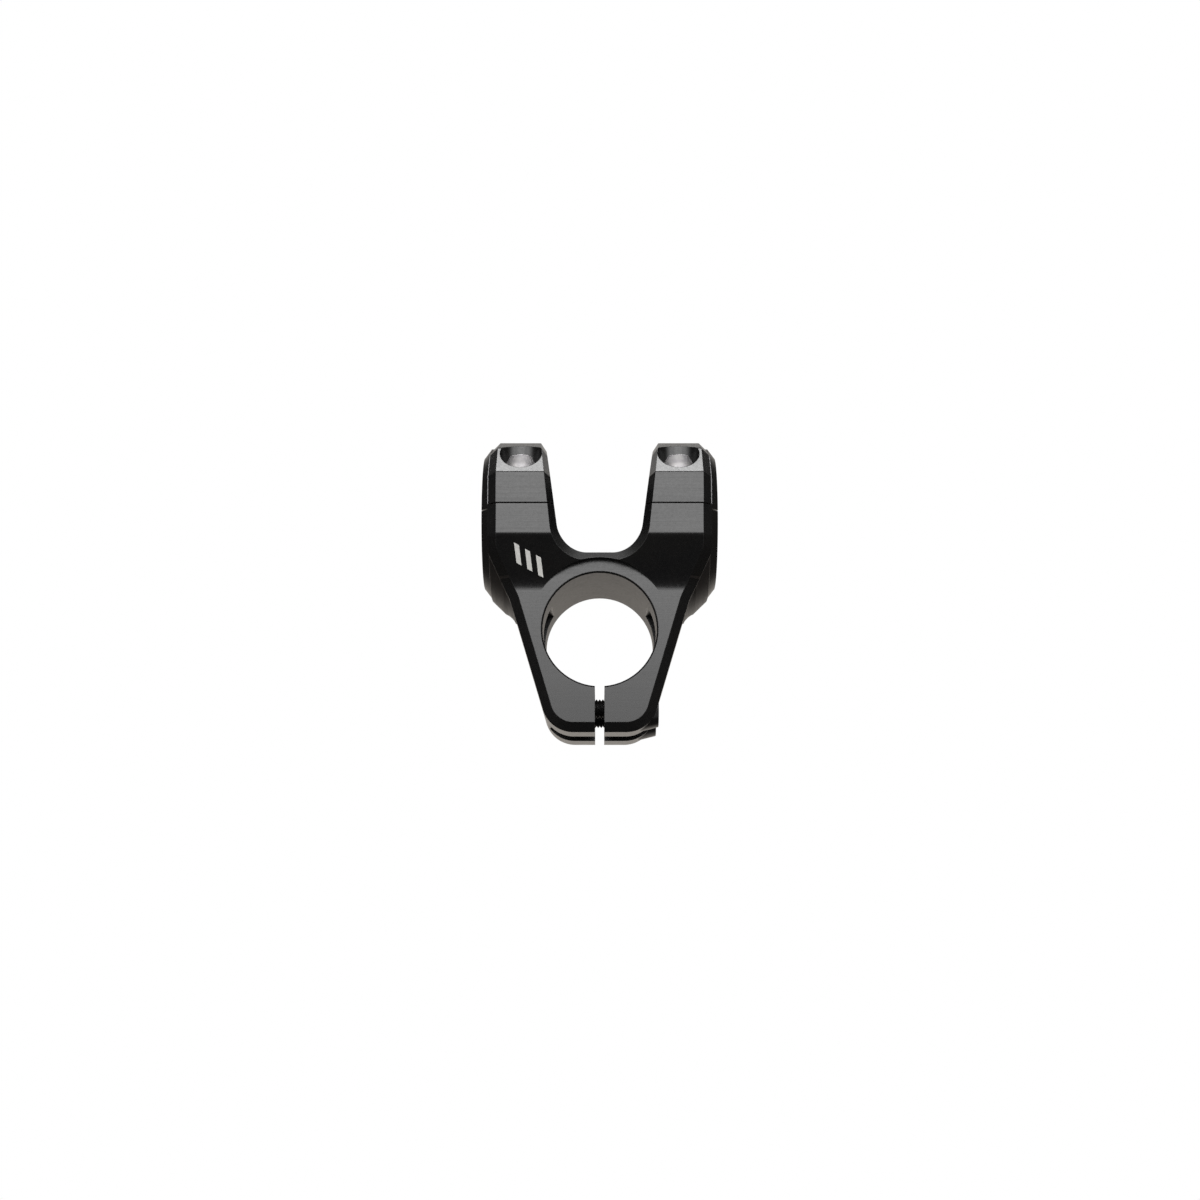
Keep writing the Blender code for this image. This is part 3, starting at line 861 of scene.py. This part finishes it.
def make_washer(node, axis):
    """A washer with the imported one's place, thickness and outer size."""
    low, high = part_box(node)
    centre = (low + high) / 2
    k = "XYZ".index(axis)
    across = 1 - k
    outer = (high[across] - low[across]) / 2 / MM
    thick = (high[k] - low[k]) / MM
    centre[k] = low[k]
    lead = WASHER_LEAD
    section = [
        (WASHER_BORE_R + 0.08, 0.0),
        (outer - lead, 0.0),
        (outer - lead * 0.3, lead * 0.3),
        (outer, lead),
        (outer, thick - lead),
        (outer - lead * 0.3, thick - lead * 0.3),
        (outer - lead, thick),
        (WASHER_BORE_R + 0.3, thick),
        (WASHER_BORE_R + 0.06, thick - 0.1),
        (WASHER_BORE_R, thick - 0.3),
        (WASHER_BORE_R, 0.1),
    ]
    shape = bmesh.new()
    rings = [make_ring(shape, axis, centre, r, along, WASHER_SEGMENTS) for r, along in section]
    for first, second in zip(rings, rings[1:] + rings[:1]):
        join_rings(shape, first, second)
    return to_object(node + "_finished", shape)


def printed_bar(name, x0, y0):
    """A slanted bar printed on the sloped top of the left arm."""
    shape = bmesh.new()
    top, low = [], []
    for k in range(PRINT_SEGMENTS + 1):
        t = k / PRINT_SEGMENTS
        x = x0 + PRINT_LEAN * PRINT_LENGTH * t
        y = y0 - PRINT_LENGTH * t
        pair = ((x, y), (x + PRINT_WIDTH, y + PRINT_CUT * PRINT_WIDTH))
        for rows, height in ((top, PRINT_TOP), (low, PRINT_LOW)):
            rows.append(
                [
                    shape.verts.new(place(x, y, STACK_HALF + rise_at(y) + height))
                    for x, y in pair
                ]
            )
    for k in range(PRINT_SEGMENTS):
        shape.faces.new((top[k][0], top[k][1], top[k + 1][1], top[k + 1][0]))
        shape.faces.new((low[k][1], low[k][0], low[k + 1][0], low[k + 1][1]))
        shape.faces.new((top[k][0], top[k + 1][0], low[k + 1][0], low[k][0]))
        shape.faces.new((top[k + 1][1], top[k][1], low[k][1], low[k + 1][1]))
    for k in (0, PRINT_SEGMENTS):
        shape.faces.new((top[k][0], top[k][1], low[k][1], low[k][0]))
    return to_object(name, shape)


# ------------------------------------------------------------- shader graph
class Graph:
    """Builds the node tree of a material or world."""

    def __init__(self, owner):
        self.owner = owner
        owner.use_nodes = True
        self.tree = owner.node_tree
        self.tree.nodes.clear()

    def add(self, kind, props=None, **inputs):
        """A node; i0, i1... name inputs by number, others by their label."""
        node = self.tree.nodes.new(kind)
        for key, value in (props or {}).items():
            setattr(node, key, value)
        for key, value in inputs.items():
            numbered = key[0] == "i" and key[1:].isdigit()
            socket = node.inputs[int(key[1:]) if numbered else key.replace("_", " ")]
            if isinstance(value, bpy.types.Node):
                value = value.outputs[0]
            if isinstance(value, bpy.types.NodeSocket):
                self.tree.links.new(value, socket)
            else:
                socket.default_value = value
        return node

    def math(self, operation, a, b=0.0):
        return self.add("ShaderNodeMath", {"operation": operation}, i0=a, i1=b, i2=0.0)

    def times(self, a, b):
        return self.math("MULTIPLY", a, b)

    def plus(self, a, b):
        return self.math("ADD", a, b)

    def vector(self, operation, a, **inputs):
        return self.add("ShaderNodeVectorMath", {"operation": operation}, i0=a, **inputs)

    def ramp(self, value, begin, end, first=0.0, last=1.0):
        """Goes smoothly from first, at begin, to last, at end."""
        return self.add(
            "ShaderNodeMapRange",
            {"interpolation_type": "SMOOTHSTEP"},
            Value=value,
            From_Min=begin,
            From_Max=end,
            To_Min=first,
            To_Max=last,
        )

    def noise(self, where, scale, detail=2.0, rough=0.5):
        return self.add(
            "ShaderNodeTexNoise", Vector=where, Scale=scale, Detail=detail, Roughness=rough
        )

    def stretch(self, where, x, y, z):
        return self.vector("MULTIPLY", where, i1=(x, y, z))

    def mix(self, factor, a, b, kind="RGBA"):
        node = self.add("ShaderNodeMix", {"data_type": kind}, Factor=factor, A=a, B=b)
        return node.outputs["Result"]

    def position(self):
        """Layout position in millimetres."""
        coord = self.add("ShaderNodeTexCoord")
        scaled = self.vector("SCALE", coord.outputs["Object"], Scale=1000.0)
        return self.vector("ADD", scaled, i1=(0.0, FRONT_Y - CAD_HIGH.y / MM, 0.0))

    def bevel(self, radius_mm):
        return self.add("ShaderNodeBevel", {"samples": 6}, Radius=radius_mm * MM)

    def edge_mask(self, radius_mm, full, clear):
        """1 right at an edge, 0 on open faces; full and clear are the cosines
        of the rounded normal's lean at which it gets there."""
        bevel = self.bevel(radius_mm)
        geometry = self.add("ShaderNodeNewGeometry")
        dot = self.vector("DOT_PRODUCT", bevel, i1=geometry.outputs["Normal"])
        return self.ramp(dot.outputs["Value"], begin=clear, end=full)

    def bump(self, height_mm, **normal):
        return self.add(
            "ShaderNodeBump", Strength=1.0, Distance=MM, Height=height_mm, **normal
        )

    def output(self, kind, shader):
        self.add(kind, Surface=shader)
        return self.owner

    def principled(self, **inputs):
        shader = self.add("ShaderNodeBsdfPrincipled", **inputs)
        return self.output("ShaderNodeOutputMaterial", shader)

    def unless_seen(self, value):
        """The value for light, 1 for the camera; also the camera switch."""
        seen = self.add("ShaderNodeLightPath").outputs["Is Camera Ray"]
        return self.mix(seen, value, 1.0, kind="FLOAT"), seen


def new_material(name):
    return Graph(bpy.data.materials.new(name))


def tinted(base, red, green, blue):
    """The base colour with each channel scaled, and alpha."""
    return tuple(min(c * f, 1.0) for c, f in zip(base, (red, green, blue))) + (1,)


# ---------------------------------------------------------------- materials
def tool_marks(graph, where, run):
    """Streaks along x ('flat'), round the bar ('nose'), or in rings spaced out
    from the steerer axis ('turned_z') or along z or x ('bore_z', 'bore_x')."""
    if run in ("flat", "nose"):
        stretch = {"flat": (0.06, 3.2, 0.5), "nose": (1.7, 0.03, 0.03)}[run]
        return graph.noise(graph.stretch(where, *stretch), scale=1.0, detail=3.0, rough=0.65)
    split = graph.add("ShaderNodeSeparateXYZ", Vector=where)
    if run == "bore_x":
        along = split.outputs[0]
    elif run == "bore_z":
        along = split.outputs[2]
    else:
        flat = graph.add(
            "ShaderNodeCombineXYZ", X=split.outputs[0], Y=split.outputs[1], Z=0.0
        )
        along = graph.vector("LENGTH", flat).outputs["Value"]
    row = graph.add("ShaderNodeCombineXYZ", X=graph.times(along, 5.0), Y=0.0, Z=0.0)
    # a slow drift keeps the rings from being perfectly even
    drift = graph.noise(where, scale=0.35)
    shift = graph.stretch(drift.outputs["Color"], 0.25, 3.0, 3.0)
    row = graph.vector("ADD", row, i1=shift)
    return graph.noise(row, scale=1.0, detail=3.0, rough=0.75)


def anodised(name, base, roughness, grain, marks=None, mark_depth=0.0):
    """Blasted and anodised aluminium. grain and mark_depth are in mm; marks
    is the run of the tool's marks under the finish."""
    graph = new_material(name)
    where = graph.position()
    cloud = graph.noise(where, scale=0.11, detail=3.0, rough=0.55)
    mottle = graph.noise(where, scale=1.3, detail=3.0, rough=0.6)
    fine = graph.noise(where, scale=11.0, detail=2.0, rough=0.7)
    speck = graph.noise(where, scale=34.0, detail=1.0, rough=0.5)

    # cooler and darker to warmer and lighter, then a faint pale mottle
    tint = graph.mix(
        graph.ramp(cloud, begin=0.3, end=0.7),
        tinted(base, red=0.8, green=0.8, blue=0.86),
        tinted(base, red=1.3, green=1.22, blue=1.15),
    )
    tint = graph.mix(
        graph.times(graph.ramp(mottle, begin=0.35, end=0.75), 0.35),
        tint,
        tinted(base, red=1.9, green=1.8, blue=1.7),
    )

    height = graph.plus(graph.times(fine, grain), graph.times(speck, grain * 0.6))
    if marks:
        streak = tool_marks(graph, where, marks)
        height = graph.plus(height, graph.times(streak, mark_depth))

    # edges worn half way to bare metal, in chips
    worn = graph.edge_mask(radius_mm=0.35, full=0.80, clear=0.985)
    chips = graph.noise(where, scale=1.9, detail=4.0, rough=0.7)
    worn = graph.times(graph.times(worn, graph.ramp(chips, begin=0.42, end=0.66)), 0.5)
    colour = graph.mix(worn, tint, (0.105, 0.10, 0.095, 1))

    # each texture roughens the finish a little
    rough = graph.times(graph.ramp(mottle, begin=0.25, end=0.8), 0.07)
    rough = graph.plus(rough, roughness)
    rough = graph.plus(rough, graph.times(graph.ramp(fine, begin=0.3, end=0.8), 0.05))
    if marks:
        rough = graph.plus(
            rough, graph.times(graph.ramp(streak, begin=0.35, end=0.7), 0.06)
        )
    return graph.principled(
        Normal=graph.bump(height, Normal=graph.bevel(radius_mm=0.16)),
        Base_Color=colour,
        Metallic=graph.times(worn, 0.7),
        Roughness=rough,
        IOR=1.6,
        Specular_IOR_Level=0.5,
    )


def bare_metal(name, base, roughness, grain, metallic=1.0, recess_shade=0.35):
    """Plain metal, with painted shade darkening its recesses, and brighter on rubbed edges."""
    graph = new_material(name)
    where = graph.position()
    cloud = graph.noise(where, scale=0.6, detail=3.0, rough=0.6)
    mottle = graph.noise(where, scale=3.0, detail=3.0, rough=0.65)
    fine = graph.noise(where, scale=16.0, detail=2.0, rough=0.7)
    tint = graph.mix(
        graph.ramp(cloud, begin=0.3, end=0.7),
        tinted(base, red=0.86, green=0.86, blue=0.88),
        tinted(base, red=1.1, green=1.09, blue=1.08),
    )
    # painted shade: the colour goes darker in the recesses that ambient occlusion finds
    recess = graph.add("ShaderNodeAmbientOcclusion", {"samples": 6}, Distance=0.7 * MM)
    painted_recess_shade = graph.times(graph.ramp(recess.outputs["AO"], begin=0.75, end=0.25), recess_shade)
    tint = graph.mix(painted_recess_shade, tint, tinted(base, red=0.25, green=0.24, blue=0.22))
    edge = graph.edge_mask(radius_mm=0.25, full=0.8, clear=0.98)
    worn = graph.times(edge, graph.ramp(mottle, begin=0.4, end=0.65))
    rubbed = tuple(min(1.0, c * 1.4 + 0.02) for c in base) + (1,)
    tint = graph.mix(graph.times(worn, 0.4), tint, rubbed)
    height = graph.plus(graph.times(fine, grain), graph.times(mottle, grain * 1.5))
    rough = graph.times(graph.ramp(mottle, begin=0.25, end=0.8), 0.12)
    return graph.principled(
        Base_Color=tint,
        Metallic=metallic,
        Roughness=graph.plus(rough, roughness),
        IOR=1.6,
        Normal=graph.bump(height, Normal=graph.bevel(radius_mm=0.08)),
    )


def ink(name):
    """Off-white print with darker pores."""
    graph = new_material(name)
    where = graph.position()
    patch = graph.noise(where, scale=2.2, detail=4.0, rough=0.7)
    pores = graph.noise(where, scale=14.0, detail=2.0, rough=0.6)
    colour = graph.mix(
        graph.ramp(patch, begin=0.3, end=0.75), (0.62, 0.61, 0.58, 1), (0.76, 0.75, 0.72, 1)
    )
    colour = graph.mix(
        graph.times(graph.ramp(pores, begin=0.62, end=0.8), 0.35),
        colour,
        (0.2, 0.2, 0.19, 1),
    )
    return graph.principled(
        Base_Color=colour,
        Roughness=graph.plus(graph.times(patch, 0.2), 0.42),
        Normal=graph.bump(graph.times(pores, 0.004)),
    )


BLACK = (0.0040, 0.0039, 0.0040)
# The finishes of the aluminium, and a strip of painted highlight, in the order of their slots.
ALUMINIUM = {
    "outer": anodised("anodised_outer", BLACK, roughness=0.21, grain=0.0007),
    "flat": anodised(
        "anodised_flat", BLACK, roughness=0.20, grain=0.0004, marks="flat", mark_depth=0.0002
    ),
    "nose": anodised(
        "anodised_nose",
        (0.012, 0.010, 0.009),
        roughness=0.30,
        grain=0.002,
        marks="nose",
        mark_depth=0.012,
    ),
    "turned": anodised(
        "anodised_turned",
        BLACK,
        roughness=0.22,
        grain=0.0004,
        marks="turned_z",
        mark_depth=0.0012,
    ),
    "bore": anodised(
        "anodised_bore",
        (0.010, 0.009, 0.008),
        roughness=0.33,
        grain=0.0012,
        marks="bore_z",
        mark_depth=0.004,
    ),
    "bar_bore": anodised(
        "anodised_bar_bore",
        BLACK,
        roughness=0.30,
        grain=0.0012,
        marks="bore_x",
        mark_depth=0.003,
    ),
    # painted highlight: a pale grey strip along the foot of each faceplate's outer chamfer,
    # standing in for a thin reflection
    "edge": bare_metal(
        "painted_highlight_edge",
        (0.55, 0.55, 0.56),
        roughness=0.34,
        grain=0.003,
        metallic=0.25,
        recess_shade=0.1,
    ),
}
SLOTS = list(ALUMINIUM)
HARDWARE = {
    "bolt_silver": bare_metal(
        "bolt_silver", (0.385, 0.376, 0.378), roughness=0.50, grain=0.006
    ),
    "bolt_black": bare_metal(
        "bolt_black",
        (0.018, 0.017, 0.017),
        roughness=0.30,
        grain=0.003,
        metallic=0.35,
        recess_shade=0.5,
    ),
    "washer_black": bare_metal(
        "washer_black",
        (0.02, 0.02, 0.02),
        roughness=0.34,
        grain=0.003,
        metallic=0.3,
        recess_shade=0.4,
    ),
}


def finish_at(x, y, z, normal):
    """The finish of a face, or the strip of painted highlight, from its middle and its normal.
    """
    steerer = math.hypot(x, y)
    bar = math.hypot(y - BAR_Y, z)
    on_bore = 0.12
    lean_x, lean_z = abs(normal.x), abs(normal.z)
    if (
        abs(steerer - STEERER_BORE_R) < on_bore
        and lean_z < 0.1
        and abs(z) < STACK_HALF + 0.2
    ):
        return "bore"
    if lean_z > 0.999:
        at_stack = abs(abs(z) - STACK_HALF) < 0.05
        spotface = at_stack and y > SLOPE_FOOT_Y - 3 and steerer < SPOTFACE_R
        return "turned" if spotface else "flat"
    if abs(bar - BAR_BORE_R) < on_bore and lean_x < 0.1:
        return "bar_bore"
    if (
        y < BAR_Y
        and abs(x) > 21.0
        and NOSE_ROOT_R + 0.3 > bar > BOSS_BASE_R
        and math.hypot(normal.y, normal.z) > 0.3
        and abs(z) < STACK_HALF + 0.5
        and lean_z < 0.98
    ):
        return "nose"
    # the easing at the foot of each faceplate's outer chamfer gets the pale strip of painted
    # highlight
    if (
        y > BAR_Y
        and ARM_OUTER_X - 0.3 < abs(x) < ARM_OUTER_X - 0.01
        and 0.72 < lean_x < 0.9995
        and bar > BOSS_BASE_R + 0.4
    ):
        return "edge"
    return "outer"


def sort_faces(obj):
    """Gives each face of an aluminium piece the finish of its surface, or the strip of painted
    highlight.
    """
    mesh = obj.data
    mesh.materials.clear()
    for material in ALUMINIUM.values():
        mesh.materials.append(material)
    for poly in mesh.polygons:
        x, y, z = poly.center
        kind = finish_at(x / MM, lay_y(y), z / MM, poly.normal)
        poly.material_index = SLOTS.index(kind)


# ----------------------------------------------------------------- assembly
BODY_OF = {
    member: body
    for body, members in frame["record"]["behaviour"]["bodies"].items()
    for member in members
}


def stand_in(obj, node):
    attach(obj, BODY_OF[node])
    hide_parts(node)


def add_aluminium(obj, node):
    tidy(obj)
    sort_faces(obj)
    shade(obj, sharp_deg=6.5, broad=True)
    stand_in(obj, node)


def add_hardware(obj, node, slot, sharp_deg):
    obj.data.materials.append(HARDWARE[slot])
    shade(obj, sharp_deg)
    stand_in(obj, node)


def fasten(group, spot, bolt, slot):
    """A bolt and its washer."""
    node = f"{group}_bolt_{spot}"
    add_hardware(make_bolt(node, **bolt), node, slot, sharp_deg=28)
    node = f"{group}_washer_{spot}"
    add_hardware(make_washer(node, bolt["axis"]), node, "washer_black", sharp_deg=30)


add_aluminium(make_body(), "stem_body")
for side, word in zip(SIDES, ("left", "right")):
    add_aluminium(make_plate(side, word), "faceplate_" + word)
    for level in ("upper", "lower"):
        fasten("faceplate", f"{level}_{word}", FACEPLATE_BOLT, "bolt_silver")
for level in ("upper", "lower"):
    fasten("pinch", level, PINCH_BOLT, "bolt_black")

print_ink = ink("print_ink")
for k in range(PRINT_COUNT):
    x0, y0 = (start + pitch * k for start, pitch in zip(PRINT_START, PRINT_PITCH))
    mark = printed_bar(f"print_bar_{k + 1}", x0, y0)
    mark.data.materials.append(print_ink)
    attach(mark, BODY_OF["stem_body"])


# -------------------------------------------------------------------- stage
def lit_patch(graph, side_x, y, half_width, rear, front, strength):
    """A soft-edged lit patch; each pair is where an edge's fade begins and
    ends, in mm."""
    window = graph.times(
        graph.ramp(side_x, *half_width, first=1.0, last=0.0),
        graph.times(graph.ramp(y, *rear), graph.ramp(y, *front, first=1.0, last=0.0)),
    )
    return graph.times(window, strength)


def floor_material():
    """Plain white to the camera; lights the stem with two patches."""
    graph = new_material("pale_floor")
    split = graph.add("ShaderNodeSeparateXYZ", Vector=graph.position())
    y = split.outputs[1]
    side_x = graph.math("ABSOLUTE", split.outputs[0])
    ahead = lit_patch(
        graph, side_x, y, half_width=(60, 150), rear=(135, 215), front=(330, 480), strength=7.6
    )
    near = lit_patch(
        graph, side_x, y, half_width=(30, 66), rear=(-110, -40), front=(52, 105), strength=0.58
    )
    glow = graph.plus(graph.plus(ahead, near), 0.05)
    # warm near the stem, white ahead of it
    warm = graph.mix(graph.ramp(y, begin=45.0, end=90.0), (1.0, 0.93, 0.85, 1), (1, 1, 1, 1))
    strength, seen = graph.unless_seen(glow)
    tone = graph.mix(seen, warm, (1, 1, 1, 1))
    light = graph.add("ShaderNodeEmission", Color=tone, Strength=strength)
    # clear from underneath, so the underside can be looked at
    towards = graph.add("ShaderNodeNewGeometry").outputs["Incoming"]
    height = graph.add("ShaderNodeSeparateXYZ", Vector=towards).outputs[2]
    clear = graph.add("ShaderNodeBsdfTransparent")
    below = graph.math("LESS_THAN", height, 0.0)
    blend = graph.add("ShaderNodeMixShader", i0=below, i1=light, i2=clear)
    return graph.output("ShaderNodeOutputMaterial", blend)


def add_floor():
    shape = bmesh.new()
    bmesh.ops.create_grid(shape, x_segments=8, y_segments=8, size=3.0)
    for v in shape.verts:
        v.co.z = CAD_LOW.z - 0.0002
    floor = to_object("floor", shape)
    floor.data.materials.append(floor_material())


def add_world():
    """A softbox overhead, leaning ahead, and a dimmer strip on each flank.
    Angles are from straight up; white to the camera."""
    world = bpy.data.worlds.new("studio")
    bpy.context.scene.world = world
    sky = Graph(world)
    ray = sky.add("ShaderNodeTexCoord").outputs["Generated"]
    axes = sky.add("ShaderNodeSeparateXYZ", Vector=ray)
    x, y, z = axes.outputs
    ahead = sky.math("ARCTAN2", y, z)
    across = sky.math("ABSOLUTE", sky.math("ARCTAN2", x, z))

    def fade(angle, begin_deg, end_deg, first=1.0, last=0.0):
        return sky.ramp(angle, math.radians(begin_deg), math.radians(end_deg), first, last)

    rise = fade(ahead, 2.0, 14.0, first=0.0, last=1.0)
    fall = fade(ahead, 30.0, 68.0, last=0.16)
    ends = fade(ahead, 80.0, 92.0, last=0.1)
    wide = fade(across, 30.0, 60.0, last=0.02)
    softbox = sky.times(sky.times(rise, fall), sky.times(ends, wide))
    flank = sky.times(
        sky.times(
            fade(across, 32.0, 46.0, first=0.0, last=1.0),
            fade(across, 56.0, 70.0),
        ),
        fade(sky.math("ABSOLUTE", ahead), 40.0, 70.0),
    )
    # softbox strength, the dim light all round, then flank strength
    level = sky.plus(sky.times(softbox, 3.3), 0.05)
    level = sky.plus(level, sky.times(flank, 1.1))
    shown, _ = sky.unless_seen(level)
    light = sky.add("ShaderNodeBackground", Color=(1.0, 1.0, 1.0, 1), Strength=shown)
    sky.output("ShaderNodeOutputWorld", light)


def add_lamp():
    lamp = bpy.data.lights.new("soft_overhead", "AREA")
    lamp.shape = "RECTANGLE"
    lamp.size, lamp.size_y = 0.7, 0.5
    lamp.energy = 1.5
    lamp.specular_factor = 0.0
    obj = bpy.data.objects.new("soft_overhead", lamp)
    obj.location = (0.0, 0.25, 1.1)
    obj.rotation_euler = (math.radians(-12), 0.0, 0.0)
    bpy.context.scene.collection.objects.link(obj)


def add_camera():
    """High above and behind, tipped forward."""
    camera = bpy.data.cameras.new("camera")
    camera.lens = 57.81
    camera.sensor_width = 36.0
    camera.clip_start, camera.clip_end = 0.02, 20.0
    obj = bpy.data.objects.new("camera", camera)
    obj.location = (0.0000874, place(0, -71.419, 0).y, 0.495722)
    obj.rotation_euler = (math.radians(9.4), 0.0, 0.0)
    bpy.context.scene.collection.objects.link(obj)
    bpy.context.scene.camera = obj


add_floor()
add_world()
add_lamp()
add_camera()
bpy.context.scene.view_settings.view_transform = "Standard"
bpy.context.scene.view_settings.look = "None"
